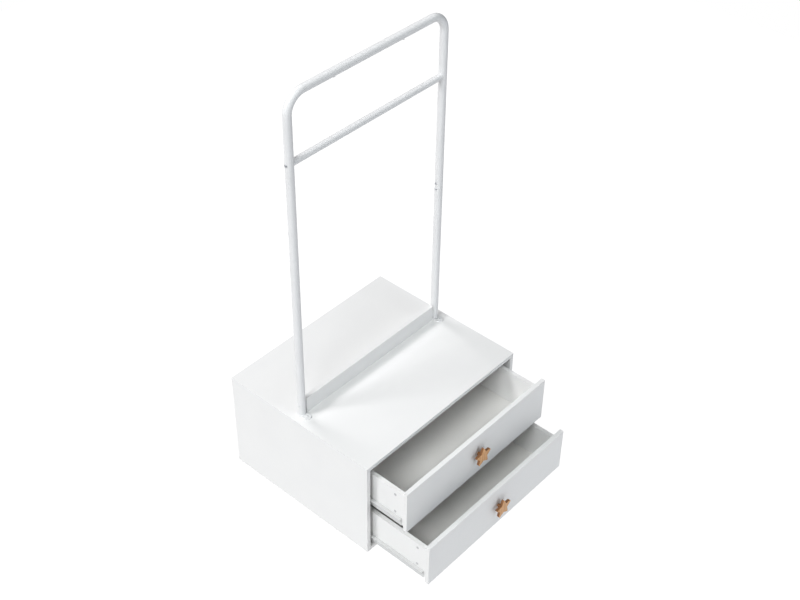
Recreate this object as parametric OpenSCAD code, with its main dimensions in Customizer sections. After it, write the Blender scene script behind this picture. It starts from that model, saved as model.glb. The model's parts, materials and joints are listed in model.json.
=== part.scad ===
// Kids clothing rack: a low cabinet with two drawers, and a steel hanging rail standing on its top.
// The origin is on the floor under the middle of the cabinet, +X to its right and +Z up.
// The drawers open towards -Y and stand partly open, as they do in the photograph.

/* [Cabinet] */
// Outside width of the cabinet
cabinet_w = 600; // [580:1:680]
// Outside depth of the cabinet, front edge to rear edge
cabinet_d = 505; // [495:1:560]
// Height of the cabinet's top surface above the floor
cabinet_h = 322; // [310:1:380]
// Thickness of the melamine boards
board_t = 12; // [12:0.5:14]
// Thickness of the cabinet's back panel
back_t = 5; // [3:0.5:6]
// Board left behind the groove that holds the back panel
back_inset = 8; // [6:0.5:12]

/* [Drawers] */
// Gap between a drawer front and each side panel of the cabinet
front_side_gap = 3; // [2:0.5:5]
// Gap between the upper front and the top panel
front_top_gap = 2.5; // [2:0.5:5]
// Gap between the two fronts
front_mid_gap = 3.5; // [3:0.5:6]
// Gap between the lower front and the bottom panel
front_low_gap = 10; // [6:0.5:14]
// How far the drawer's sides end below the top edge of its front
side_drop = 24; // [18:1:34]
// How far the drawer's sides start above the bottom edge of its front
side_rise = 2; // [1.5:0.5:5]
// Length of the drawer's side boards
drawer_l = 450; // [420:1:455]
// Thickness of the hardboard bottom of each drawer
drawer_bottom_t = 3; // [2.5:0.5:4]
// How far the upper drawer stands open
upper_open = 123.5; // [0:0.5:330]
// How far the lower drawer stands open
lower_open = 202.5; // [0:0.5:330]

/* [Runners] */
// Space for a runner between a drawer side and the cabinet side
runner_gap = 12.5; // [12.5:0.1:13]
// Thickness of the runners' sheet steel
sheet_t = 1.2; // [1:0.1:1.3]
// Diameter of the nylon rollers
roller_d = 15; // [13:0.5:15]
// Width of the nylon rollers
roller_w = 5; // [4:0.5:5]
// Free space around each roller and between the two runner profiles
play = 0.3; // [0.3:0.05:0.4]

/* [Star knobs] */
// Radius of a knob from its centre to a point of the star
star_r = 29; // [26:0.5:36]
// Radius of the notches between the points
star_notch_r = 15; // [13:0.5:17]
// Radius of the blunt tips of the star
star_tip_r = 2; // [1.5:0.5:3.5]
// Thickness of the star
star_t = 9; // [5:0.5:12]
// Length of the round neck that holds the star off the drawer front
star_neck_l = 11; // [6:0.5:16]
// Radius of the neck
star_neck_r = 5; // [4:0.5:8]
// How far the knob's centre is above the middle of the drawer front
knob_rise = 3; // [0:0.5:8]

/* [Rail] */
// Height of the hoop's top above the floor
rack_h = 1304; // [1240:1:1450]
// Outside diameter of the hoop and the uprights
tube_d = 22; // [20:0.5:25]
// Wall of the hoop and the uprights
tube_wall = 1.2; // [1:0.1:1.6]
// Distance from the cabinet's outer side to the centre line of the upright
upright_inset = 32.5; // [28:0.5:60]
// Length of an upright from its foot plate to the joint with the hoop
upright_l = 460; // [400:1:520]
// Radius of the hoop's two bends, at the tube's centre line
bend_r = 50; // [45:1:80]
// Distance from the hoop's top down to the centre line of the crossbar
crossbar_drop = 187; // [150:1:230]
// Outside diameter of the crossbar
crossbar_d = 18; // [14:0.5:19]
// Distance of each stud under the hoop's bar from the middle
stud_x = 117; // [60:1:150]
// How far the rail stands behind the middle of the cabinet
rail_y = 13; // [0:1:40]
// Height of the low board between the feet of the uprights
rail_board_h = 50; // [40:1:90]
// Gap between each end of the low board and the upright beside it
low_board_gap = 2; // [0.5:0.5:2.5]
// Thickness of the foot plates
foot_plate_t = 3; // [2:0.5:4]
// Distance from the upright to the screw of its foot plate
foot_screw_dist = 19; // [18:0.5:26]

/* [Hidden] */
$fn = 48;
eps = 0.01;

// Fasteners: bolts, dowels, screws and cam discs, and how far they grip into the next board
bolt_r = 2.5;
bolt_head_r = 4;
bolt_head_t = 2;
dowel_r = 3;
screw_r = 2;
screw_head_r = 3.5;
small_screw_r = 1.5;
small_head_r = 3;
small_head_t = 1.4;
cam_r = 6;
grip_l = 8;

// Room in the holes and grooves made for them. Cuts run 1 mm past the faces they open through.
end_room = 0.5;
hole_fit = 0.05;
sink_fit = 0.1;
groove_fit = 0.1;
grip_hole_l = grip_l + end_room;
bolt_hole_r = bolt_r + hole_fit;
dowel_hole_r = dowel_r + hole_fit;
screw_hole_r = screw_r + hole_fit;
small_hole_r = small_screw_r + hole_fit;
wall_hole_r = bolt_r + 0.1;
sheet_hole_r = small_screw_r + 0.1;
free_hole_r = screw_r + 0.2;
cam_slot_r = bolt_r + 0.2;
cam_gap = 0.2;

// Cabinet edges and inner faces
half_w = cabinet_w / 2;
front_y = -cabinet_d / 2;
rear_y = cabinet_d / 2;
inner_x = half_w - board_t;
panel_mid_x = half_w - board_t / 2;
under_top_z = cabinet_h - board_t;
groove_y0 = rear_y - back_inset - back_t - groove_fit;
groove_y1 = rear_y - back_inset + groove_fit;
groove_depth = 5;
fitting_inset = 52;
dowel_gap = 80;
dowel_deep = 16;
dowel_hole_l = dowel_deep + end_room;
fitting_y = cabinet_d / 2 - fitting_inset;
dowel_y = fitting_y - dowel_gap;
cam_reach = 34;
cam_z = under_top_z - cam_reach;
cam_depth = board_t - 3;
cam_hole_l = cam_depth + sink_fit;

// Drawer fronts share what the panels and the gaps leave
front_h = (cabinet_h - 2 * board_t - front_top_gap - front_mid_gap - front_low_gap) / 2;
front_half_w = inner_x - front_side_gap;
lower_z = board_t + front_low_gap;
upper_z = lower_z + front_h + front_mid_gap;
upper_y = front_y - upper_open;
lower_y = front_y - lower_open;

// Drawer box: faces of its sides, and heights above the bottom edge of its front
side_out_x = inner_x - runner_gap;
side_in_x = side_out_x - board_t;
side_mid_x = side_out_x - board_t / 2;
side_top = front_h - side_drop;
floor_z = side_rise + 4;
floor_groove_depth = 6;
drawer_cam_low = side_rise + 36;
drawer_cam_high = side_top - 16;
drawer_cam_reach = 36;
drawer_cam_r = 4;
cam_slit_half_l = 2.5;
cam_slit_half_w = 0.6;
cam_slit_t = 1.5;
front_grip = 9;
back_screw_low = side_rise + 40;
back_screw_high = side_top - 20;
back_screw_l = 20;
knob_head_t = 2.5;

// Runner section: u is the distance outwards from the drawer side, heights are above the side's bottom
flange_u1 = runner_gap - 3.1;
web_top = 26;
roller_r = roller_d / 2;
roller_u0 = sheet_t + 1.4;
roller_u1 = roller_u0 + roller_w;
roller_z = web_top - sheet_t - play - roller_r;
track_z = roller_z - roller_r - play;
cabinet_web_u = runner_gap - sheet_t;
track_u0 = roller_u0 - 0.1;
top_rail_u0 = roller_u0 + 0.9;
cabinet_web_low = 1;
cabinet_web_top = 32;
lip_h = 2.5;
runner_screw_inset = 60;
channel_screw_front = 40;
channel_screw_rear = 30;
flange_screw_u = 3;
flange_head_r = 2.8;
flange_head_t = 1.2;
pin_r = 2;
pin_head_r = 3.2;
pin_head_t = 0.7;
roller_side_gap = 0.3;
runner_l = drawer_l - 4;
cabinet_runner_y0 = front_y + board_t + 1.5;
drawer_runner_dy0 = board_t + 12;
drawer_runner_dy1 = board_t + drawer_l - 2;
roller_end_gap = 12;
front_roller_y = cabinet_runner_y0 + roller_end_gap;
rear_roller_dy = drawer_runner_dy1 - roller_end_gap;
roller_h = side_rise + roller_z;

// Rail
tube_r = tube_d / 2;
upright_x = half_w - upright_inset;
foot_z = cabinet_h + foot_plate_t;
joint_z = foot_z + upright_l;
bar_z = rack_h - tube_r;
crossbar_z = rack_h - crossbar_drop;
crossbar_half = upright_x - tube_r;
sleeve_r = tube_r - tube_wall - 0.1;
sleeve_wall = 1.5;
sleeve_half_l = 45;
joint_screw_dz = 9;
joint_screw_l = 4;
joint_head_r = 3.2;
joint_head_t = 1.8;
low_board_bolt_l = 30;
low_board_bolt_z = cabinet_h + rail_board_h - 15;
low_board_half = upright_x - tube_r - low_board_gap;
notch_fit = 0.2;
notch_reach = 20;
foot_rim = 3;
foot_tab_r = tube_r + 0.5;
foot_screw_l = 9;
stud_l = 4.5;
stud_r = 3.4;
stud_dome_r = 4;
stud_stem_r = 2;
crossbar_wall = 1;
crossbar_screw_l = 18;
plug_l = 22;

// Star outline, for a point along +X: its round tip, the notch beside it and where the flank meets the tip
knob_h = front_h / 2 + knob_rise;
knob_back = -star_neck_l;
knob_face = knob_back - star_t;
knob_wood = 4;
knob_hole = knob_face + knob_wood;
tip_x = star_r - star_tip_r;
notch_x = star_notch_r * cos(36);
notch_y = star_notch_r * sin(36);
tip_angle = atan2(notch_y, notch_x - tip_x) - acos(star_tip_r / norm([notch_x - tip_x, notch_y]));
star_tip = [for (k = [-4 : 4]) [tip_x, 0] + turned([star_tip_r, 0], tip_angle * k / 4)];
star_flank = concat(star_tip, [[notch_x, notch_y]]);

// A point turned about the origin
function turned(p, a) = [p[0] * cos(a) - p[1] * sin(a), p[0] * sin(a) + p[1] * cos(a)];

// A block between two x, two y and two z values
module block(x0, x1, y0, y1, z0, z1) {
    translate([min(x0, x1), min(y0, y1), min(z0, z1)])
        cube([abs(x1 - x0), abs(y1 - y0), abs(z1 - z0)]);
}

// Round bars along each axis
module rod_x(x0, x1, y, z, r) {
    translate([min(x0, x1), y, z]) rotate([0, 90, 0]) cylinder(r = r, h = abs(x1 - x0));
}

module rod_y(x, y0, y1, z, r) {
    translate([x, min(y0, y1), z]) rotate([-90, 0, 0]) cylinder(r = r, h = abs(y1 - y0));
}

module rod_z(x, y, z0, z1, r) {
    translate([x, y, min(z0, z1)]) cylinder(r = r, h = abs(z1 - z0));
}

// Cabinet boards. Each is cut for the fittings and for the back panel's groove.
module top_panel() {
    color("white") difference() {
        block(-half_w, half_w, front_y, rear_y, under_top_z, cabinet_h);
        block(-inner_x - groove_depth, inner_x + groove_depth, groove_y0, groove_y1,
              under_top_z - 1, under_top_z + groove_depth);
        for (s = [-1, 1], y = [-1, 1]) {
            rod_z(s * panel_mid_x, y * fitting_y, under_top_z - 1, under_top_z + grip_hole_l, bolt_hole_r);
            rod_z(s * panel_mid_x, y * dowel_y, under_top_z - 1, under_top_z + grip_hole_l, dowel_hole_r);
        }
        for (s = [-1, 1])
            rod_z(s * upright_x, rail_y - foot_screw_dist, cabinet_h - foot_screw_l - end_room, cabinet_h + 1,
                  screw_hole_r);
    }
}

module side_panel(s) {
    color("white") difference() {
        block(s * inner_x, s * half_w, front_y, rear_y, 0, under_top_z);
        block(s * (inner_x - 1), s * (inner_x + groove_depth), groove_y0, groove_y1,
              board_t - groove_depth, under_top_z + 1);
        for (y = [-1, 1]) {
            rod_z(s * panel_mid_x, y * fitting_y, cam_z, under_top_z + 1, bolt_hole_r);
            rod_x(s * (inner_x - 1), s * (inner_x + cam_hole_l), y * fitting_y, cam_z, cam_r + sink_fit);
            rod_z(s * panel_mid_x, y * dowel_y, under_top_z - dowel_hole_l, under_top_z + 1, dowel_hole_r);
            rod_x(s * (inner_x - 1), s * (inner_x + grip_hole_l), y * fitting_y, board_t / 2, bolt_hole_r);
            rod_x(s * (inner_x - 1), s * (inner_x + grip_hole_l), y * dowel_y, board_t / 2, dowel_hole_r);
        }
        for (z = [lower_z, upper_z], k = [0, 1, 2])
            rod_x(s * (inner_x - 1), s * (inner_x + grip_hole_l), runner_screw_y(k), z + roller_h,
                  small_hole_r);
    }
}

module left_side_panel() side_panel(-1);

module right_side_panel() side_panel(1);

module bottom_panel() {
    color("white") difference() {
        block(-inner_x, inner_x, front_y, rear_y, 0, board_t);
        block(-inner_x - 1, inner_x + 1, groove_y0, groove_y1, board_t - groove_depth, board_t + 1);
        for (s = [-1, 1], y = [-1, 1]) {
            rod_x(s * (inner_x - cam_reach), s * (inner_x + 1), y * fitting_y, board_t / 2, bolt_hole_r);
            rod_z(s * (inner_x - cam_reach), y * fitting_y, board_t - cam_hole_l, board_t + 1,
                  cam_r + sink_fit);
            rod_x(s * (inner_x - dowel_hole_l), s * (inner_x + 1), y * dowel_y, board_t / 2, dowel_hole_r);
        }
    }
}

module back_panel() {
    reach = groove_depth - end_room;
    color("gainsboro")
        block(-inner_x - reach, inner_x + reach, groove_y0 + groove_fit, groove_y1 - groove_fit,
              board_t - reach, under_top_z + reach);
}

// Cam discs in the side and bottom panels, each open on one side for its bolt
module cabinet_cams() {
    color("silver") for (s = [-1, 1], y = [-1, 1]) {
        difference() {
            rod_x(s * inner_x, s * (inner_x + cam_depth), y * fitting_y, cam_z, cam_r);
            rod_z(s * panel_mid_x, y * fitting_y, cam_z, under_top_z, cam_slot_r);
        }
        difference() {
            rod_z(s * (inner_x - cam_reach), y * fitting_y, board_t - cam_depth, board_t, cam_r);
            rod_x(s * (inner_x - cam_reach), s * inner_x, y * fitting_y, board_t / 2, cam_slot_r);
        }
    }
}

module cabinet_cam_bolts() {
    color("dimgray") for (s = [-1, 1], y = [-1, 1]) {
        rod_z(s * panel_mid_x, y * fitting_y, cam_z + cam_gap, under_top_z + grip_l, bolt_r);
        rod_x(s * (inner_x - cam_reach + cam_gap), s * (inner_x + grip_l), y * fitting_y, board_t / 2,
              bolt_r);
    }
}

module cabinet_dowels() {
    color("burlywood") for (s = [-1, 1], y = [-1, 1]) {
        rod_z(s * panel_mid_x, y * dowel_y, under_top_z - dowel_deep, under_top_z + grip_l, dowel_r);
        rod_x(s * (inner_x - dowel_deep), s * (inner_x + grip_l), y * dowel_y, board_t / 2, dowel_r);
    }
}

// Low board on edge between the feet of the uprights, held by a bolt through each foot
module low_board() {
    color("white") difference() {
        block(-low_board_half, low_board_half, rail_y - board_t / 2, rail_y + board_t / 2,
              cabinet_h, cabinet_h + rail_board_h);
        for (s = [-1, 1])
            rod_x(s * (low_board_half - low_board_bolt_l - end_room), s * (low_board_half + 1), rail_y,
                  low_board_bolt_z, bolt_hole_r);
    }
}

module low_board_bolts() {
    color("silver") for (s = [-1, 1]) {
        rod_x(s * (low_board_half - low_board_bolt_l), s * (upright_x + tube_r + eps), rail_y,
              low_board_bolt_z, bolt_r);
        rod_x(s * (upright_x + tube_r), s * (upright_x + tube_r + bolt_head_t), rail_y,
              low_board_bolt_z, bolt_head_r);
    }
}

// Uprights: hollow tubes on their foot plates, drilled for the bolts of the low board and the joint
module upright(s) {
    color("whitesmoke") difference() {
        rod_z(s * upright_x, rail_y, foot_z, joint_z, tube_r);
        rod_z(s * upright_x, rail_y, foot_z - 1, joint_z + 1, tube_r - tube_wall);
        rod_x(s * (upright_x - tube_r - 1), s * (upright_x + tube_r + 1), rail_y, low_board_bolt_z,
              wall_hole_r);
        rod_x(s * (upright_x - tube_r - 1), s * upright_x, rail_y, joint_z - joint_screw_dz, screw_hole_r);
    }
}

module left_upright() upright(-1);

module right_upright() upright(1);

module foot_plates() {
    color("whitesmoke") for (s = [-1, 1]) difference() {
        union() {
            rod_z(s * upright_x, rail_y, cabinet_h, foot_z, tube_r + foot_rim);
            rod_z(s * upright_x, rail_y - foot_screw_dist, cabinet_h, foot_z, foot_tab_r);
            block(s * upright_x - foot_tab_r, s * upright_x + foot_tab_r,
                  rail_y - foot_screw_dist, rail_y, cabinet_h, foot_z);
        }
        rod_z(s * upright_x, rail_y - foot_screw_dist, cabinet_h - 1, foot_z + 1, free_hole_r);
        low_board_notch(s);
    }
}

// The foot plate is cut away where the low board stands
module low_board_notch(s) {
    half_t = board_t / 2 + notch_fit;
    block(s * (low_board_half + notch_fit), s * (low_board_half - notch_reach),
          rail_y - half_t, rail_y + half_t, cabinet_h - 1, foot_z + 1);
}

module foot_screws() {
    color("silver") for (s = [-1, 1]) {
        rod_z(s * upright_x, rail_y - foot_screw_dist, foot_z, foot_z + bolt_head_t, screw_head_r);
        rod_z(s * upright_x, rail_y - foot_screw_dist, cabinet_h - foot_screw_l, foot_z + eps, screw_r);
    }
}

// Sleeves inside the tubes join the hoop to the uprights, with a screw above and below the seam
module joint_sleeves() {
    color("silver") for (s = [-1, 1]) difference() {
        rod_z(s * upright_x, rail_y, joint_z - sleeve_half_l, joint_z + sleeve_half_l, sleeve_r);
        rod_z(s * upright_x, rail_y, joint_z - sleeve_half_l - 1, joint_z + sleeve_half_l + 1,
              sleeve_r - sleeve_wall);
        for (d = [-1, 1])
            rod_x(s * (upright_x - tube_r), s * upright_x, rail_y, joint_z + d * joint_screw_dz,
                  screw_hole_r);
    }
}

module joint_screws() {
    color("silver") for (s = [-1, 1], d = [-1, 1]) {
        rod_x(s * (upright_x - tube_r - joint_head_t), s * (upright_x - tube_r), rail_y,
              joint_z + d * joint_screw_dz, joint_head_r);
        rod_x(s * (upright_x - tube_r - eps), s * (upright_x - sleeve_r + joint_screw_l), rail_y,
              joint_z + d * joint_screw_dz, screw_r);
    }
}

// One bent tube, as a solid of the given radius along the hoop's centre line
module hoop_bar(r, extra) {
    for (s = [-1, 1])
        rod_z(s * upright_x, rail_y, joint_z - extra, bar_z - bend_r, r);
    rod_x(-(upright_x - bend_r), upright_x - bend_r, rail_y, bar_z, r);
    translate([upright_x - bend_r, rail_y, bar_z - bend_r]) rotate([90, 0, 0])
        rotate_extrude(angle = 90) translate([bend_r, 0]) circle(r = r);
    translate([-(upright_x - bend_r), rail_y, bar_z - bend_r]) rotate([90, -90, 0])
        rotate_extrude(angle = 90) translate([bend_r, 0]) circle(r = r);
}

module hoop() {
    color("whitesmoke") difference() {
        hoop_bar(tube_r, 0);
        hoop_bar(tube_r - tube_wall, 1);
        for (s = [-1, 1]) {
            rod_x(s * (upright_x - tube_r - 1), s * upright_x, rail_y, joint_z + joint_screw_dz,
                  screw_hole_r);
            rod_x(s * (upright_x - tube_r - 1), s * (upright_x + tube_r + 1), rail_y, crossbar_z,
                  wall_hole_r);
            rod_z(s * stud_x, rail_y, bar_z - tube_r - 1, bar_z, stud_stem_r + hole_fit);
        }
    }
}

// Studs under the hoop's bar, which keep hangers from sliding to the bends
module bar_studs() {
    color("whitesmoke") for (s = [-1, 1]) {
        intersection() {
            rod_z(s * stud_x, rail_y, bar_z - tube_r - stud_l, bar_z - tube_r, stud_r);
            translate([s * stud_x, rail_y, bar_z - tube_r - stud_l + stud_dome_r]) sphere(r = stud_dome_r);
        }
        rod_z(s * stud_x, rail_y, bar_z - tube_r - 1, bar_z - tube_r + tube_wall + 1, stud_stem_r);
    }
}

// Crossbar between the uprights of the hoop, with a threaded plug in each end
module crossbar() {
    color("whitesmoke") difference() {
        rod_x(-upright_x, upright_x, rail_y, crossbar_z, crossbar_d / 2);
        rod_x(-upright_x - 1, upright_x + 1, rail_y, crossbar_z, crossbar_d / 2 - crossbar_wall);
        for (s = [-1, 1])
            rod_z(s * upright_x, rail_y, crossbar_z - crossbar_d, crossbar_z + crossbar_d, tube_r + hole_fit);
    }
}

module crossbar_plugs() {
    color("dimgray") for (s = [-1, 1]) difference() {
        rod_x(s * (crossbar_half - plug_l), s * (crossbar_half - end_room), rail_y, crossbar_z,
              crossbar_d / 2 - crossbar_wall);
        rod_x(s * (crossbar_half - crossbar_screw_l - 1), s * crossbar_half, rail_y, crossbar_z,
              bolt_hole_r);
    }
}

module crossbar_screws() {
    color("silver") for (s = [-1, 1]) {
        rod_x(s * (crossbar_half - crossbar_screw_l), s * (upright_x + tube_r + eps), rail_y, crossbar_z,
              bolt_r);
        rod_x(s * (upright_x + tube_r), s * (upright_x + tube_r + bolt_head_t), rail_y,
              crossbar_z, bolt_head_r);
    }
}

// Runner screws stand in the channel of the cabinet's runner at these depths
function runner_screw_y(k) = cabinet_runner_y0 + channel_screw_front
    + k * (runner_l - channel_screw_front - channel_screw_rear) / 2;

// A block in the runner's space on side s, from u0 to u1 outwards from the drawer side
module strip(s, u0, u1, y0, y1, z0, z1) {
    block(s * (side_out_x + u0), s * (side_out_x + u1), y0, y1, z0, z1);
}

module cabinet_runner(s, z) {
    y0 = cabinet_runner_y0;
    y1 = y0 + runner_l;
    base = z + side_rise;
    color("whitesmoke") difference() {
        union() {
            strip(s, cabinet_web_u, runner_gap, y0, y1, base + cabinet_web_low, base + cabinet_web_top);
            strip(s, track_u0, runner_gap, y0, y1, base + track_z - sheet_t, base + track_z);
            strip(s, top_rail_u0, runner_gap, y0, y1, base + web_top + play,
                  base + web_top + play + sheet_t);
        }
        for (k = [0, 1, 2])
            rod_x(s * side_out_x, s * half_w, runner_screw_y(k), base + roller_z, sheet_hole_r);
        rod_x(s * side_out_x, s * half_w, front_roller_y, base + roller_z, pin_r + hole_fit);
    }
}

module upper_left_cabinet_runner() cabinet_runner(-1, upper_z);

module upper_right_cabinet_runner() cabinet_runner(1, upper_z);

module lower_left_cabinet_runner() cabinet_runner(-1, lower_z);

module lower_right_cabinet_runner() cabinet_runner(1, lower_z);

module cabinet_runner_screws() {
    color("silver") for (s = [-1, 1], z = [lower_z, upper_z], k = [0, 1, 2]) {
        h = z + roller_h;
        web_x = side_out_x + cabinet_web_u;
        rod_x(s * (web_x - small_head_t), s * web_x, runner_screw_y(k), h, small_head_r);
        rod_x(s * (web_x - eps), s * (inner_x + grip_l), runner_screw_y(k), h, small_screw_r);
    }
}

// Front rollers turn on pins riveted in the cabinet's runners
module front_roller_pins() {
    color("silver") for (s = [-1, 1], z = [lower_z, upper_z]) {
        h = z + roller_h;
        y = front_roller_y;
        inner_gap_x = side_out_x + roller_u0 - roller_side_gap;
        outer_gap_x = side_out_x + roller_u1 + roller_side_gap;
        rod_x(s * (inner_gap_x - pin_head_t), s * (side_out_x + runner_gap), y, h, pin_r);
        rod_x(s * (inner_gap_x - pin_head_t), s * inner_gap_x, y, h, pin_head_r);
        rod_x(s * outer_gap_x, s * (side_out_x + cabinet_web_u), y, h, pin_head_r);
    }
}

module roller_pair(y, h) {
    color("ghostwhite") for (s = [-1, 1]) difference() {
        rod_x(s * (side_out_x + roller_u0), s * (side_out_x + roller_u1), y, h, roller_r);
        rod_x(s * (side_out_x + roller_u0 - 1), s * (side_out_x + roller_u1 + 1), y, h, pin_r + hole_fit);
    }
}

module upper_front_rollers() roller_pair(front_roller_y, upper_z + roller_h);

module lower_front_rollers() roller_pair(front_roller_y, lower_z + roller_h);

// Drawer parts. y is the outer face of the drawer front and z its bottom edge.
module drawer_front(y, z) {
    color("white") difference() {
        block(-front_half_w, front_half_w, y, y + board_t, z, z + front_h);
        block(-side_in_x - floor_groove_depth, side_in_x + floor_groove_depth,
              y + board_t - floor_groove_depth, y + board_t + 1,
              z + floor_z - groove_fit, z + floor_z + drawer_bottom_t + groove_fit);
        for (s = [-1, 1], h = [drawer_cam_low, drawer_cam_high])
            rod_y(s * side_mid_x, y + board_t - front_grip - end_room, y + board_t + 1, z + h, bolt_hole_r);
        rod_y(0, y - 1, y + board_t + 1, z + knob_h, free_hole_r);
    }
}

module drawer_side(s, y, z) {
    y0 = y + board_t;
    y1 = y0 + drawer_l;
    color("white") difference() {
        block(s * side_in_x, s * side_out_x, y0, y1, z + side_rise, z + side_top);
        block(s * (side_in_x - 1), s * (side_in_x + floor_groove_depth), y0 - 1, y1 + 1,
              z + floor_z - groove_fit, z + floor_z + drawer_bottom_t + groove_fit);
        for (h = [drawer_cam_low, drawer_cam_high]) {
            rod_y(s * side_mid_x, y0 - 1, y0 + drawer_cam_reach, z + h, bolt_hole_r);
            rod_x(s * (side_out_x - cam_hole_l), s * (side_out_x + 1), y0 + drawer_cam_reach,
                  z + h, drawer_cam_r + sink_fit);
        }
        for (h = [back_screw_low, back_screw_high]) {
            rod_x(s * (side_in_x - 1), s * (side_out_x + 1), y1 - board_t / 2, z + h, screw_hole_r);
            rod_x(s * (side_out_x - bolt_head_t), s * (side_out_x + 1), y1 - board_t / 2, z + h,
                  screw_head_r + sink_fit);
        }
        for (k = [0, 1, 2])
            rod_z(s * (side_out_x - flange_screw_u), drawer_screw_y(y, k), z + side_rise - 1,
                  z + side_rise + grip_hole_l, small_hole_r);
    }
}

module drawer_back(y, z) {
    y1 = y + board_t + drawer_l;
    color("white") difference() {
        block(-side_in_x, side_in_x, y1 - board_t, y1,
              z + floor_z + drawer_bottom_t + groove_fit, z + side_top);
        for (s = [-1, 1], h = [back_screw_low, back_screw_high])
            rod_x(s * (side_in_x - back_screw_l - 2), s * (side_in_x + 1), y1 - board_t / 2, z + h,
                  screw_hole_r);
    }
}

module drawer_bottom(y, z) {
    reach = floor_groove_depth - end_room;
    color("gainsboro")
        block(-side_in_x - reach, side_in_x + reach, y + board_t - reach, y + board_t + drawer_l - end_room,
              z + floor_z, z + floor_z + drawer_bottom_t);
}

// Cam discs in the outer faces of the drawer sides, which pull the front onto the sides
module drawer_cams(y, z) {
    color("silver") for (s = [-1, 1], h = [drawer_cam_low, drawer_cam_high]) difference() {
        cam_y = y + board_t + drawer_cam_reach;
        rod_x(s * (side_out_x - cam_depth), s * side_out_x, cam_y, z + h, drawer_cam_r);
        rod_y(s * side_mid_x, y, cam_y, z + h, cam_slot_r);
        block(s * (side_out_x - cam_slit_t), s * (side_out_x + 1),
              cam_y - cam_slit_half_l, cam_y + cam_slit_half_l,
              z + h - cam_slit_half_w, z + h + cam_slit_half_w);
    }
}

module drawer_cam_bolts(y, z) {
    color("dimgray") for (s = [-1, 1], h = [drawer_cam_low, drawer_cam_high])
        rod_y(s * side_mid_x, y + board_t - front_grip, y + board_t + drawer_cam_reach - cam_gap,
              z + h, bolt_r);
}

// Screws through the drawer sides into the ends of the drawer back
module drawer_screws(y, z) {
    color("silver") for (s = [-1, 1], h = [back_screw_low, back_screw_high]) {
        head_x = side_out_x - bolt_head_t;
        rod_x(s * (side_in_x - back_screw_l), s * (head_x + eps), y + drawer_l + board_t / 2, z + h, screw_r);
        rod_x(s * head_x, s * side_out_x, y + drawer_l + board_t / 2, z + h, screw_head_r);
    }
}

// Star knob: a five-pointed slab of wood with blunt points, one of them upright, on a round neck
module star_outline() {
    polygon([for (i = [0 : 4], p = star_flank) turned(p, 90 + 72 * i)]);
}

module star_knob(y, z) {
    color("peru") difference() {
        union() {
            translate([0, y + knob_back, z + knob_h]) rotate([90, 0, 0])
                linear_extrude(height = star_t) star_outline();
            rod_y(0, y, y + knob_back - 1, z + knob_h, star_neck_r);
        }
        rod_y(0, y + knob_hole, y + 1, z + knob_h, screw_hole_r);
    }
}

module knob_screw(y, z) {
    color("silver") {
        rod_y(0, y + knob_hole + end_room, y + board_t + eps, z + knob_h, screw_r);
        rod_y(0, y + board_t, y + board_t + knob_head_t, z + knob_h, bolt_head_r);
    }
}

// Drawer runner: flange under the side, web up its face, and the rail that rides on the front roller
function drawer_screw_y(y, k) =
    y + board_t + runner_screw_inset + k * (drawer_l - 2 * runner_screw_inset) / 2;

module drawer_runner(s, y, z) {
    y0 = y + drawer_runner_dy0;
    y1 = y + drawer_runner_dy1;
    base = z + side_rise;
    color("whitesmoke") difference() {
        union() {
            strip(s, -board_t, sheet_t, y0, y1, base - sheet_t, base);
            strip(s, 0, sheet_t, y0, y1, base - sheet_t, base + web_top);
            strip(s, 0, flange_u1, y0, y1, base + web_top - sheet_t, base + web_top);
            strip(s, flange_u1 - sheet_t, flange_u1, y0, y1, base + web_top - sheet_t - lip_h,
                  base + web_top);
        }
        for (k = [0, 1, 2])
            rod_z(s * (side_out_x - flange_screw_u), drawer_screw_y(y, k), base - sheet_t - 1, base + 1,
                  sheet_hole_r);
        rod_x(s * side_in_x, s * half_w, y + rear_roller_dy, base + roller_z, pin_r + hole_fit);
    }
}

module runner_screws(y, z) {
    base = z + side_rise;
    color("silver") for (s = [-1, 1], k = [0, 1, 2]) {
        rod_z(s * (side_out_x - flange_screw_u), drawer_screw_y(y, k), base - sheet_t - flange_head_t,
              base - sheet_t, flange_head_r);
        rod_z(s * (side_out_x - flange_screw_u), drawer_screw_y(y, k), base - sheet_t - eps, base + grip_l,
              small_screw_r);
    }
}

// Rear rollers turn on pins riveted in the drawer's runners and roll in the cabinet's channel
module rear_roller_pins(y, z) {
    pin_y = y + rear_roller_dy;
    h = z + roller_h;
    color("silver") for (s = [-1, 1]) {
        inner_gap_x = side_out_x + roller_u0 - roller_side_gap;
        outer_gap_x = side_out_x + roller_u1 + roller_side_gap;
        rod_x(s * side_out_x, s * (outer_gap_x + pin_head_t), pin_y, h, pin_r);
        rod_x(s * outer_gap_x, s * (outer_gap_x + pin_head_t), pin_y, h, pin_head_r);
        rod_x(s * (side_out_x + sheet_t), s * inner_gap_x, pin_y, h, pin_head_r);
    }
}

module upper_drawer_front() drawer_front(upper_y, upper_z);

module upper_drawer_left_side() drawer_side(-1, upper_y, upper_z);

module upper_drawer_right_side() drawer_side(1, upper_y, upper_z);

module upper_drawer_back() drawer_back(upper_y, upper_z);

module upper_drawer_bottom() drawer_bottom(upper_y, upper_z);

module upper_drawer_cams() drawer_cams(upper_y, upper_z);

module upper_drawer_cam_bolts() drawer_cam_bolts(upper_y, upper_z);

module upper_drawer_screws() drawer_screws(upper_y, upper_z);

module upper_star_knob() star_knob(upper_y, upper_z);

module upper_knob_screw() knob_screw(upper_y, upper_z);

module upper_left_drawer_runner() drawer_runner(-1, upper_y, upper_z);

module upper_right_drawer_runner() drawer_runner(1, upper_y, upper_z);

module upper_runner_screws() runner_screws(upper_y, upper_z);

module upper_rear_roller_pins() rear_roller_pins(upper_y, upper_z);

module upper_rear_rollers() roller_pair(upper_y + rear_roller_dy, upper_z + roller_h);

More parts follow.
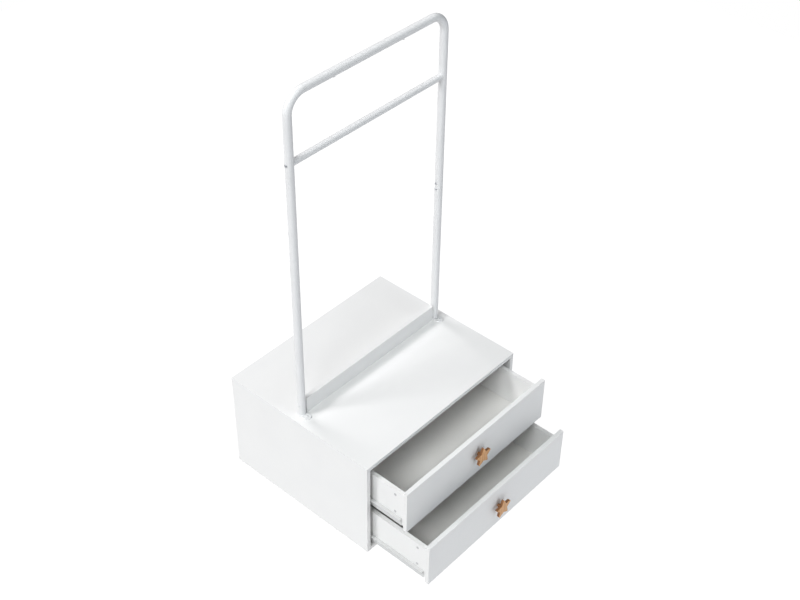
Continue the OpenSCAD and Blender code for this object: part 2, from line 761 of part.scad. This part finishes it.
module lower_drawer_front() drawer_front(lower_y, lower_z);

module lower_drawer_left_side() drawer_side(-1, lower_y, lower_z);

module lower_drawer_right_side() drawer_side(1, lower_y, lower_z);

module lower_drawer_back() drawer_back(lower_y, lower_z);

module lower_drawer_bottom() drawer_bottom(lower_y, lower_z);

module lower_drawer_cams() drawer_cams(lower_y, lower_z);

module lower_drawer_cam_bolts() drawer_cam_bolts(lower_y, lower_z);

module lower_drawer_screws() drawer_screws(lower_y, lower_z);

module lower_star_knob() star_knob(lower_y, lower_z);

module lower_knob_screw() knob_screw(lower_y, lower_z);

module lower_left_drawer_runner() drawer_runner(-1, lower_y, lower_z);

module lower_right_drawer_runner() drawer_runner(1, lower_y, lower_z);

module lower_runner_screws() runner_screws(lower_y, lower_z);

module lower_rear_roller_pins() rear_roller_pins(lower_y, lower_z);

module lower_rear_rollers() roller_pair(lower_y + rear_roller_dy, lower_z + roller_h);

top_panel();
left_side_panel();
right_side_panel();
bottom_panel();
back_panel();
cabinet_cams();
cabinet_cam_bolts();
cabinet_dowels();
low_board();
low_board_bolts();
left_upright();
right_upright();
foot_plates();
foot_screws();
joint_sleeves();
joint_screws();
hoop();
bar_studs();
crossbar();
crossbar_plugs();
crossbar_screws();
upper_left_cabinet_runner();
upper_right_cabinet_runner();
lower_left_cabinet_runner();
lower_right_cabinet_runner();
cabinet_runner_screws();
front_roller_pins();
upper_front_rollers();
lower_front_rollers();
upper_drawer_front();
upper_drawer_left_side();
upper_drawer_right_side();
upper_drawer_back();
upper_drawer_bottom();
upper_drawer_cams();
upper_drawer_cam_bolts();
upper_drawer_screws();
upper_star_knob();
upper_knob_screw();
upper_left_drawer_runner();
upper_right_drawer_runner();
upper_runner_screws();
upper_rear_roller_pins();
upper_rear_rollers();
lower_drawer_front();
lower_drawer_left_side();
lower_drawer_right_side();
lower_drawer_back();
lower_drawer_bottom();
lower_drawer_cams();
lower_drawer_cam_bolts();
lower_drawer_screws();
lower_star_knob();
lower_knob_screw();
lower_left_drawer_runner();
lower_right_drawer_runner();
lower_runner_screws();
lower_rear_roller_pins();
lower_rear_rollers();
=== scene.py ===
# Kids clothing rack: a low white cabinet with two star-knobbed drawers, and a tube rail on its top.
# The sections follow the rack as it is put together, from the cabinet's boards to the studio round it.
import json
import math

import bpy
from mathutils import Matrix, Vector


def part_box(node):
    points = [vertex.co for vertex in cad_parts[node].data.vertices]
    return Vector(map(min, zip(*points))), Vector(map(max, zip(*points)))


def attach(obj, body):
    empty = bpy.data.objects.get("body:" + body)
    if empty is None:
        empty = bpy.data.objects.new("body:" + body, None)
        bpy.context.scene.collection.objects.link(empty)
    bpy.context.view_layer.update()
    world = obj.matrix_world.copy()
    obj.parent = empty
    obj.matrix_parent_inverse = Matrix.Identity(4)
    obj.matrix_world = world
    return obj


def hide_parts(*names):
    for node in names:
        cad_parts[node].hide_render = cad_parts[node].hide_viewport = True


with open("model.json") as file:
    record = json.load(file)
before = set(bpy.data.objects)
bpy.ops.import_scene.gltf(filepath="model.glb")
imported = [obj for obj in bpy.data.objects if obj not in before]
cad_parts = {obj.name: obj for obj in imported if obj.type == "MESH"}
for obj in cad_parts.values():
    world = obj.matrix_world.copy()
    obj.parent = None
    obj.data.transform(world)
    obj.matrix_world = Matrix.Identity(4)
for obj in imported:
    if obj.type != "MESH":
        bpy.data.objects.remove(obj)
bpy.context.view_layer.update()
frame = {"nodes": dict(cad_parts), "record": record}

# Cabinet boards: top, sides and bottom, of 12 mm particle board faced with white melamine and edged
# with white tape. The top lies over the sides. Cam bolts and dowels hold the four boards together.


class Value:
    """A value inside one material, where arithmetic adds the nodes that work it out."""

    def __init__(self, tree, socket=None):
        self.tree = tree
        self.socket = socket

    def add(self, kind, settings, sockets, out=0):
        """A new node with the given settings and inputs, as the value of one of its outputs."""
        node = self.tree.nodes.new(kind)
        for name, setting in settings.items():
            setattr(node, name, setting)
        for name, given in sockets.items():
            if isinstance(given, Value):
                self.tree.links.new(given.socket, node.inputs[name])
            else:
                node.inputs[name].default_value = given
        return Value(self.tree, node.outputs[out])

    def math(self, operation, first, second=0.0):
        return self.add("ShaderNodeMath", {"operation": operation}, {0: first, 1: second})

    def __add__(self, other):
        return self.math("ADD", self, other)

    def __sub__(self, other):
        return self.math("SUBTRACT", self, other)

    def __rsub__(self, other):
        return self.math("SUBTRACT", other, self)

    def __mul__(self, other):
        return self.math("MULTIPLY", self, other)

    __radd__ = __add__

    def ramp(self, start, end):
        """0 below start, 1 above end and a soft step between them."""
        return self.add("ShaderNodeMapRange", {"interpolation_type": "SMOOTHSTEP"},
                        {"Value": self, "From Min": start, "From Max": end})

    def shade(self, first, second):
        """From the first colour to the second as this value goes from 0 to 1."""
        factor, colour_a, colour_b, mixed = 0, 6, 7, 2
        first, second = (c if isinstance(c, Value) else (*c, 1) for c in (first, second))
        return self.add("ShaderNodeMix", {"data_type": "RGBA"},
                        {factor: self, colour_a: first, colour_b: second}, mixed)

    def noise(self, place, scale, detail=2.0, roughness=0.5):
        return self.add("ShaderNodeTexNoise", {},
                        {"Vector": place, "Scale": scale, "Detail": detail, "Roughness": roughness})

    def parts(self, place):
        """The X, Y and Z of a place."""
        first = self.add("ShaderNodeSeparateXYZ", {}, {0: place})
        return first, *(Value(self.tree, first.socket.node.outputs[i]) for i in (1, 2))


def finish(name, roughness, metallic=0.0, coat=0.0, specular=0.5):
    """A new material, with its shader, and the values and the place that its pattern starts from."""
    material = bpy.data.materials.new(name)
    material.use_nodes = True
    shader = material.node_tree.nodes["Principled BSDF"]
    shader.inputs["Roughness"].default_value = roughness
    shader.inputs["Metallic"].default_value = metallic
    shader.inputs["Coat Weight"].default_value = coat
    shader.inputs["Specular IOR Level"].default_value = specular
    start = Value(material.node_tree)
    return material, shader, start, start.add("ShaderNodeTexCoord", {}, {}, "Object")


def wire(value, shader, socket):
    value.tree.links.new(value.socket, shader.inputs[socket])


def bump(height, depth):
    """Turns a height from 0 to 1 into a surface normal, for a relief of that depth in metres."""
    return height.add("ShaderNodeBump", {}, {"Strength": 1.0, "Distance": depth, "Height": height})


def melamine(name, low, high):
    """White foil with a faint grain, and the hairline where the edge tape meets each wide face."""
    foil = (0.87, 0.868, 0.86)
    worn_foil = tuple(c * f for c, f in zip(foil, (0.93, 0.93, 0.94)))
    tape_line = 0.0011
    rubbed_edge = 0.003
    material, shader, start, place = finish(name, 0.5, specular=0.35)
    size = high - low
    longer_axes = sorted(range(3), key=lambda i: size[i])[1:]
    coordinates = start.parts(place)
    near = None
    for i in longer_axes:
        middle = (low[i] + high[i]) / 2
        gap = size[i] / 2 - start.math("ABSOLUTE", coordinates[i] - middle)
        near = gap if near is None else start.math("MINIMUM", near, gap)
    tape = 1 - start.math("ABSOLUTE", near - tape_line).ramp(0.0001, 0.0003)
    cloud = start.noise(place, scale=7.0, detail=3.0)
    speck = start.noise(place, scale=900.0, detail=1.0)
    scuff = start.noise(place, scale=160.0, detail=3.0)
    rub = (1 - near.ramp(0.0, rubbed_edge)) * scuff.ramp(0.5, 0.75)
    tone = cloud.ramp(0.3, 0.7) * 0.25 + speck.ramp(0.35, 0.65) * 0.12 + rub * 0.5 + tape * 0.9
    wire(tone.shade(foil, worn_foil), shader, "Base Color")
    wire(0.46 + cloud * 0.10 + rub * 0.15, shader, "Roughness")
    wire(bump(speck * 0.6 + cloud * 0.4 - tape * 0.5, depth=0.00003), shader, "Normal")
    return material


body_of = {n: b for b, members in frame["record"]["behaviour"]["bodies"].items() for n in members}


def smooth(piece, angle):
    """Smooth shading across edges flatter than the angle. The large faces lead, so they stay even."""
    bpy.ops.object.shade_smooth_by_angle(angle=math.radians(angle))
    even = piece.modifiers.new("large faces lead", "WEIGHTED_NORMAL")
    even.keep_sharp = True
    bpy.ops.object.modifier_apply(modifier=even.name)


def eased(node, name, width, segments=2, limit=32, angle=30):
    """The node's own solid with its sharp corners eased by the given width, standing for the node.

    Corners sharper than the limit are eased, and edges flatter than the angle are shaded smooth.
    """
    bpy.ops.object.select_all(action="DESELECT")
    piece = bpy.data.objects.new(name, frame["nodes"][node].data.copy())
    bpy.context.scene.collection.objects.link(piece)
    bpy.context.view_layer.objects.active = piece
    piece.select_set(True)
    piece.data.materials.clear()
    bpy.ops.mesh.customdata_custom_splitnormals_clear()
    bpy.ops.object.mode_set(mode="EDIT")
    bpy.ops.mesh.select_all(action="SELECT")
    bpy.ops.mesh.remove_doubles(threshold=0.000002)
    bpy.ops.mesh.dissolve_limited(angle_limit=math.radians(0.5))
    bpy.ops.object.mode_set(mode="OBJECT")
    bevel = piece.modifiers.new("eased corners", "BEVEL")
    bevel.width = width
    bevel.segments = segments
    bevel.limit_method = "ANGLE"
    bevel.angle_limit = math.radians(limit)
    bevel.use_clamp_overlap = True
    bpy.ops.object.modifier_apply(modifier=bevel.name)
    smooth(piece, angle)
    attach(piece, body_of[node])
    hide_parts(node)
    return piece


def board(node):
    piece = eased(node, node + "_board", width=0.0006, segments=2, limit=40, angle=18)
    piece.data.materials.append(melamine("white_melamine_" + node, *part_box(node)))


for node in ("top_panel", "left_side_panel", "right_side_panel", "bottom_panel"):
    board(node)

# Back panel: thin hardboard lacquered white on the inside and the outside, slid into a groove in the
# four boards. Its fine fibres show through the lacquer.


def hardboard():
    material, shader, start, place = finish("lacquered_hardboard", 0.5)
    fibre = start.noise(place, scale=420.0, detail=4.0, roughness=0.7)
    cloud = start.noise(place, scale=11.0)
    tone = fibre.ramp(0.3, 0.7) * 0.5 + cloud.ramp(0.3, 0.7) * 0.5
    wire(tone.shade((0.93, 0.92, 0.90), (0.88, 0.87, 0.85)), shader, "Base Color")
    wire(0.44 + fibre * 0.14, shader, "Roughness")
    wire(bump(fibre, depth=0.00004), shader, "Normal")
    return material


def dress(node, material):
    """Gives a carried-over solid its material."""
    materials = frame["nodes"][node].data.materials
    materials.clear()
    materials.append(material)


lacquered_hardboard = hardboard()
dress("back_panel", lacquered_hardboard)

# Cabinet fittings: cast zinc cam discs let into the boards, zinc-plated bolts that they pull on, and
# beech dowels. All of them sit inside the joints.


def metal(name, colour, roughness, grain):
    """Bare or plated metal: fine grain, with duller patches."""
    dull_colour = tuple(c * 0.86 for c in colour)
    material, shader, start, place = finish(name, roughness, metallic=1.0)
    fine = start.noise(place, scale=grain, detail=3.0)
    patch = start.noise(place, scale=120.0)
    tone = (fine * 0.5 + patch * 0.5).ramp(0.35, 0.65)
    wire(tone.shade(colour, dull_colour), shader, "Base Color")
    wire(roughness - 0.06 + patch * 0.16, shader, "Roughness")
    wire(bump(fine, depth=0.00002), shader, "Normal")
    return material


def beech():
    material, shader, start, place = finish("raw_beech", 0.7)
    fleck = start.noise(place, scale=600.0, detail=3.0)
    wire(fleck.ramp(0.35, 0.7).shade((0.56, 0.38, 0.22), (0.42, 0.26, 0.14)), shader, "Base Color")
    wire(bump(fleck, depth=0.00006), shader, "Normal")
    return material


zinc_plate = metal("zinc_plate", (0.62, 0.63, 0.66), roughness=0.34, grain=2600.0)
cast_zinc = metal("cast_zinc", (0.52, 0.52, 0.54), roughness=0.48, grain=900.0)
dress("cabinet_cams", cast_zinc)
dress("cabinet_cam_bolts", zinc_plate)
dress("cabinet_dowels", beech())

# Low board: the same white board, stood on edge on the top between the feet of the uprights, with a
# button-headed bolt through each upright into its end. The bolts are powder-coated like the tubes.


def powder_coat(name, colour):
    """Baked powder paint with a slight orange peel."""
    deeper_colour = tuple(c * 0.965 for c in colour)
    material, shader, start, place = finish(name, 0.45, specular=0.3)
    peel = start.noise(place, scale=700.0)
    cloud = start.noise(place, scale=16.0)
    tone = peel.ramp(0.3, 0.7) * 0.3 + cloud.ramp(0.3, 0.7) * 0.7
    wire(tone.shade(colour, deeper_colour), shader, "Base Color")
    wire(0.42 + peel * 0.06 + cloud * 0.06, shader, "Roughness")
    wire(bump(peel, depth=0.000006), shader, "Normal")
    return material


def ease_rim(piece, z, width, segments):
    """Rounds the rim of the active piece's flat end at the given height."""
    mesh = piece.data
    for vertex in mesh.vertices:
        vertex.select = abs(vertex.co.z - z) < 0.00001
    for edge in mesh.edges:
        edge.select = all(mesh.vertices[v].select for v in edge.vertices)
    for polygon in mesh.polygons:
        polygon.select = all(mesh.vertices[v].select for v in polygon.vertices)
    bpy.ops.object.mode_set(mode="EDIT")
    bpy.ops.mesh.bevel(offset=width, segments=segments, affect="EDGES")
    bpy.ops.object.mode_set(mode="OBJECT")


def screws(node, name, head, height, shank, length, seats, material=zinc_plate):
    """Cross-recessed screws, modelled once, from the radius and height of the head and the shank's own.

    Each seat is the point under a head and the way that it faces.
    """
    recess_size = (head * 1.05, head * 0.22, height * 0.9)
    overlap = height * 0.2
    bpy.ops.object.select_all(action="DESELECT")
    bpy.ops.mesh.primitive_cylinder_add(vertices=28, radius=head, depth=height,
                                        location=(0, 0, height / 2))
    first = bpy.context.object
    bpy.ops.object.transform_apply(location=True, rotation=True, scale=True)
    ease_rim(first, height, width=height * 0.62, segments=4)
    arms = []
    for turn in (0, 90):
        bpy.ops.mesh.primitive_cube_add(size=1, location=(0, 0, height),
                                        rotation=(0, 0, math.radians(turn)))
        arm = bpy.context.object
        arm.scale = recess_size
        bpy.ops.object.transform_apply(location=True, rotation=True, scale=True)
        arms.append(arm)
    for arm in arms:
        bpy.ops.object.select_all(action="DESELECT")
        first.select_set(True)
        bpy.context.view_layer.objects.active = first
        recess = first.modifiers.new("recess", "BOOLEAN")
        recess.operation = "DIFFERENCE"
        recess.solver = "EXACT"
        recess.object = arm
        bpy.ops.object.modifier_apply(modifier=recess.name)
        bpy.data.objects.remove(arm)
    bpy.ops.object.select_all(action="DESELECT")
    bpy.ops.mesh.primitive_cylinder_add(vertices=20, radius=shank, depth=length + overlap,
                                        location=(0, 0, (overlap - length) / 2))
    bpy.ops.object.transform_apply(location=True, rotation=True, scale=True)
    first.select_set(True)
    bpy.context.view_layer.objects.active = first
    bpy.ops.object.join()
    bpy.ops.object.shade_smooth_by_angle(angle=math.radians(35))
    copies = []
    for seat, out in seats:
        facing = Vector(out).to_track_quat("Z", "Y").to_matrix().to_4x4()
        mesh = first.data.copy()
        mesh.transform(Matrix.Translation(seat) @ facing)
        copy = bpy.data.objects.new(name, mesh)
        bpy.context.scene.collection.objects.link(copy)
        copies.append(copy)
    bpy.data.objects.remove(first)
    bpy.ops.object.select_all(action="DESELECT")
    for copy in copies:
        copy.select_set(True)
    bpy.context.view_layer.objects.active = copies[0]
    bpy.ops.object.join()
    piece = bpy.context.object
    piece.name = name
    piece.data.materials.clear()
    piece.data.materials.append(material)
    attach(piece, body_of[node])
    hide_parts(node)


board("low_board")
white_powder_coat = powder_coat("white_powder_coat", (0.83, 0.83, 0.835))
low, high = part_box("low_board_bolts")
bolt_z = (low.z + high.z) / 2
rail_y = (low.y + high.y) / 2
head, height = 0.004, 0.002
screws("low_board_bolts", "low_board_bolt_heads", head, height, shank=0.0025, length=0.0535,
       seats=[((side * (high.x - height), rail_y, bolt_z), (side, 0, 0)) for side in (-1, 1)],
       material=white_powder_coat)

# Rail: 22 mm steel tube with a white powder coat. The two uprights stand on welded foot plates, each
# with a tab to the front that takes one screw into the cabinet's top.
tube_sides = 56
tube_rim = 0.0006
for node in ("left_upright", "right_upright"):
    low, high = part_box(node)
    bpy.ops.object.select_all(action="DESELECT")
    bpy.ops.mesh.primitive_cylinder_add(vertices=tube_sides, radius=(high.x - low.x) / 2,
                                        depth=high.z - low.z, end_fill_type="NGON",
                                        location=(low + high) / 2)
    upright = bpy.context.object
    upright.name = node + "_tube"
    bpy.ops.object.transform_apply(location=True, rotation=True, scale=True)
    ease_rim(upright, high.z, tube_rim, segments=2)
    smooth(upright, 35)
    upright.data.materials.append(white_powder_coat)
    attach(upright, "cabinet")
    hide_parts(node)

feet = eased("foot_plates", "foot_plate_pair", width=0.0006, segments=3)
feet.data.materials.append(white_powder_coat)
low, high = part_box("foot_screws")
foot_y = (low.y + high.y) / 2
head, height = 0.0035, 0.002
screws("foot_screws", "foot_screw_pair", head, height, shank=0.002, length=0.0118,
       seats=[((side * (high.x - head), foot_y, high.z - height), (0, 0, 1)) for side in (-1, 1)],
       material=white_powder_coat)

# Hoop: one length of the same tube, bent twice. Its legs meet the uprights over inner sleeves, with a
# screw above and below each seam on the side that faces the other upright.
low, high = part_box("hoop")
tube = (high.y - low.y) / 2
leg_x = high.x - tube
bend = 0.050
bend_steps = 24
rise = high.z - tube - bend - low.z
span = 2 * (leg_x - bend)
bend_z = low.z + rise
bpy.ops.object.select_all(action="DESELECT")
bpy.ops.mesh.primitive_circle_add(vertices=tube_sides, radius=tube, fill_type="NOTHING",
                                  location=(-leg_x, rail_y, low.z))
hoop = bpy.context.object
hoop.name = "hoop_tube"
bpy.ops.object.transform_apply(location=True, rotation=True, scale=True)
bpy.ops.object.mode_set(mode="EDIT")
bpy.ops.mesh.select_all(action="SELECT")
bpy.ops.mesh.extrude_region_move(TRANSFORM_OT_translate={"value": (0, 0, rise)})
bpy.ops.mesh.spin(steps=bend_steps, angle=math.radians(-90), center=(bend - leg_x, rail_y, bend_z),
                  axis=(0, 1, 0))
bpy.ops.mesh.extrude_region_move(TRANSFORM_OT_translate={"value": (span, 0, 0)})
bpy.ops.mesh.spin(steps=bend_steps, angle=math.radians(-90), center=(leg_x - bend, rail_y, bend_z),
                  axis=(0, 1, 0))
bpy.ops.mesh.extrude_region_move(TRANSFORM_OT_translate={"value": (0, 0, -rise)})
bpy.ops.mesh.select_all(action="SELECT")
bpy.ops.mesh.remove_doubles(threshold=0.000005)
bpy.ops.mesh.fill_holes(sides=0)
bpy.ops.mesh.normals_make_consistent(inside=False)
bpy.ops.object.mode_set(mode="OBJECT")
ease_rim(hoop, low.z, tube_rim, segments=2)
smooth(hoop, 35)
hoop.data.materials.append(white_powder_coat)
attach(hoop, "cabinet")
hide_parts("hoop")

seam_z = low.z
from_seam = 0.009
screws("joint_screws", "joint_screw_set", head=0.0032, height=0.0018, shank=0.002, length=0.0052,
       seats=[((side * (leg_x - tube), rail_y, seam_z + step), (-side, 0, 0))
              for side in (-1, 1) for step in (-from_seam, from_seam)])
dress("joint_sleeves", zinc_plate)
studs = eased("bar_studs", "bar_stud_pair", width=0.0003, segments=2)
studs.data.materials.append(white_powder_coat)

# Crossbar: a thinner white tube between the legs of the hoop, its ends shaped to them. A plug in each
# end takes a bolt that passes through the leg from outside.


def plastic(name, colour, roughness):
    """Moulded plastic with a fine spark-eroded texture."""
    deeper_colour = tuple(c * 0.9 for c in colour)
    material, shader, start, place = finish(name, roughness)
    fine = start.noise(place, scale=1500.0)
    cloud = start.noise(place, scale=60.0)
    tone = (fine * 0.4 + cloud * 0.6).ramp(0.3, 0.7)
    wire(tone.shade(colour, deeper_colour), shader, "Base Color")
    wire(roughness - 0.05 + fine * 0.1, shader, "Roughness")
    wire(bump(fine, depth=0.00004), shader, "Normal")
    return material


crossbar = eased("crossbar", "crossbar_tube", width=0.0002, segments=1, limit=60, angle=40)
crossbar.data.materials.append(white_powder_coat)
dress("crossbar_plugs", plastic("plug_plastic", (0.05, 0.05, 0.05), roughness=0.5))
low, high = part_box("crossbar_screws")
bolt_z = (low.z + high.z) / 2
head, height = 0.004, 0.002
screws("crossbar_screws", "crossbar_bolt_heads", head, height, shank=0.0025, length=0.0395,
       seats=[((side * (high.x - height), rail_y, bolt_z), (side, 0, 0)) for side in (-1, 1)])

# Cabinet runners: rolled steel channels, epoxy-coated off-white and screwed to the inside of the side
# panels. A nylon roller turns on a riveted pin at the front of each.


def runner(node):
    piece = eased(node, node + "_steel", width=0.00035, segments=2)
    piece.data.materials.append(runner_coat)


runner_coat = powder_coat("off_white_runner_coat", (0.66, 0.665, 0.66))
nylon = plastic("white_nylon", (0.80, 0.80, 0.77), roughness=0.45)
for level in ("upper", "lower"):
    for side in ("left", "right"):
        runner(f"{level}_{side}_cabinet_runner")
    dress(level + "_front_rollers", nylon)
dress("front_roller_pins", zinc_plate)
low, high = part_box("cabinet_runner_screws")
screw_reach = 0.0092
web_x = high.x - screw_reach
head = 0.003
screws("cabinet_runner_screws", "cabinet_runner_screw_set", head, height=0.0014, shank=0.0015,
       length=0.009, seats=[((side * web_x, y, z), (-side, 0, 0)) for side in (-1, 1)
                            for z in (low.z + head, high.z - head)
                            for y in (low.y + head, (low.y + high.y) / 2, high.y - head)])

# Drawers: a front, two lower sides and a back of the same white board, over a hardboard bottom that
# sits in grooves. Cam discs in the sides pull the front on, and screws hold the back.


def star(node):
    """The knob's five-pointed slab: edges rounded over, grain upright, and its sides painted darker for
    shade.
    """
    piece = eased(node, node + "_wood", width=0.0011, segments=4, limit=40, angle=40)
    material, shader, start, place = finish("stained_wood_" + node, 0.46, coat=0.1)
    along_grain = start.add("ShaderNodeMapping", {}, {"Vector": place, "Scale": (1.0, 1.0, 0.09),
                                                      "Rotation": (0.0, math.radians(7), 0.0)})
    band = start.noise(along_grain, scale=210.0, detail=4.0, roughness=0.6)
    pore = start.noise(along_grain, scale=1500.0, roughness=0.6)
    tone = band.ramp(0.32, 0.68) * 0.8 + pore.ramp(0.55, 0.75) * 0.35
    face_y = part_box(node)[0].y
    # Painted shade: behind the front face, the slab's sides get a darker wood colour, standing in for
    # the shade on them.
    shade_start, shade_end = 0.0007, 0.0022
    side = start.parts(place)[1].ramp(face_y + shade_start, face_y + shade_end)
    face_wood = tone.shade((0.78, 0.42, 0.19), (0.55, 0.27, 0.10))
    shaded_side_wood = tone.shade((0.34, 0.15, 0.055), (0.22, 0.09, 0.03))
    wire(side.shade(face_wood, shaded_side_wood), shader, "Base Color")
    wire(0.40 + band * 0.14, shader, "Roughness")
    wire(bump(pore * 0.7 + band * 0.3, depth=0.00008), shader, "Normal")
    piece.data.materials.append(material)


# Painted reflection: the drawers' cams take a lighter copy of the cast zinc, standing in for bright
# reflections that the dim surround does not give them.
lit_zinc_copy = metal("painted_lighter_cast_zinc", (0.72, 0.72, 0.73), roughness=0.6, grain=900.0)
for level in ("upper", "lower"):
    drawer = level + "_drawer"
    for part in ("front", "left_side", "right_side", "back"):
        board(f"{drawer}_{part}")
    dress(drawer + "_bottom", lacquered_hardboard)
    dress(drawer + "_cams", lit_zinc_copy)
    dress(drawer + "_cam_bolts", zinc_plate)
    dress(level + "_rear_roller_pins", zinc_plate)
    dress(level + "_rear_rollers", nylon)
    low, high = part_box(drawer + "_screws")
    back_y = (low.y + high.y) / 2
    head, height = 0.0035, 0.002
    screws(drawer + "_screws", drawer + "_back_screws", head, height, shank=0.002, length=0.0298,
           seats=[((side * (high.x - height), back_y, z), (side, 0, 0)) for side in (-1, 1)
                  for z in (low.z + head, high.z - head)])
    star(level + "_star_knob")
    low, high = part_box(level + "_knob_screw")
    knob_z = (low.z + high.z) / 2
    height = 0.0025
    head_and_spare = 0.0028
    screws(level + "_knob_screw", level + "_knob_screw_head", head=0.004, height=height, shank=0.002,
           length=high.y - low.y - head_and_spare, seats=[((0, high.y - height, knob_z), (0, 1, 0))])
    for side in ("left", "right"):
        runner(f"{level}_{side}_drawer_runner")
    low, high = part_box(level + "_runner_screws")
    head, height = 0.0028, 0.0012
    screws(level + "_runner_screws", level + "_drawer_runner_screws", head, height, shank=0.0015,
           length=0.009, seats=[((side * (high.x - head), y, low.z + height), (0, 0, -1))
                                for side in (-1, 1)
                                for y in (low.y + head, (low.y + high.y) / 2, high.y - head)])

# Studio: a white floor and surround that the camera sees as pure white, a soft key light high on the
# left and a weaker one behind the rack, and broad fills from the left, the front and above. For all but
# the camera the floor is a little dimmer, and the surround is very dim.


def soft_light(name, towards, size, energy, colour):
    """A round soft box that faces the rack from the given direction."""
    distance = 9.0
    rack_middle = Vector((0, -0.1, 0.3))
    lamp = bpy.data.lights.new(name, "AREA")
    lamp.shape = "DISK"
    lamp.size = size
    lamp.energy = energy
    lamp.color = colour
    light = bpy.data.objects.new(name, lamp)
    bpy.context.scene.collection.objects.link(light)
    towards = Vector(towards).normalized()
    light.location = rack_middle + towards * distance
    light.rotation_euler = towards.to_track_quat("Z", "Y").to_euler()


pure_white = (1.0, 1.0, 1.0)
bpy.ops.object.select_all(action="DESELECT")
bpy.ops.mesh.primitive_plane_add(size=6, location=(0, 0, 0))
floor = bpy.context.object
floor.name = "studio_floor"
sweep, shader, start, _ = finish("studio_sweep", 0.9, specular=0.0)
shader.inputs["Base Color"].default_value = (0.10, 0.10, 0.10, 1)
seen = start.add("ShaderNodeLightPath", {}, {})
wire(seen.shade((0.75, 0.75, 0.76), pure_white), shader, "Emission Color")
shader.inputs["Emission Strength"].default_value = 1.0
floor.data.materials.append(sweep)

scene = bpy.context.scene
surround = bpy.data.worlds.new("studio_surround")
surround.use_nodes = True
seen = Value(surround.node_tree).add("ShaderNodeLightPath", {}, {})
wire(seen.shade((0.044, 0.046, 0.05), pure_white), surround.node_tree.nodes["Background"], "Color")
scene.world = surround
scene.view_settings.view_transform = "Standard"
soft_light("key_light", (-0.90, 0.42, 1.0), size=2.4, energy=378, colour=(0.98, 0.98, 0.99))
soft_light("rear_light", (0.0, 0.6, 1.0), size=2.4, energy=186, colour=(1.0, 0.97, 0.99))
soft_light("side_fill", (-0.9, -0.2, 0.8), size=4.0, energy=350, colour=(0.97, 1.0, 1.0))
soft_light("front_fill", (0.1, -1.0, 0.27), size=4.0, energy=203, colour=(0.88, 0.94, 1.0))
soft_light("top_fill", (0.0, -0.3, 1.0), size=7.0, energy=150, colour=(0.96, 1.0, 0.98))

# Camera: set where the photograph was taken from, above and to the left of the rack's front.
azimuth, elevation, roll = (math.radians(a) for a in (-48.61, 40.01, 0.82))
stand = Vector((-1.9833, -1.8395, 2.8281))
back = Vector((math.sin(azimuth) * math.cos(elevation), -math.cos(azimuth) * math.cos(elevation),
               math.sin(elevation)))
right = Vector((math.cos(azimuth), math.sin(azimuth), 0))
up = back.cross(right)
right, up = (right * math.cos(roll) + up * math.sin(roll),
             up * math.cos(roll) - right * math.sin(roll))
lens = bpy.data.cameras.new("camera")
lens.sensor_width = 36.0
lens.lens = 60.04
lens.clip_end = 60
camera = bpy.data.objects.new("camera", lens)
scene.collection.objects.link(camera)
camera.matrix_world = Matrix.Translation(stand) @ Matrix((right, up, back)).transposed().to_4x4()
scene.camera = camera
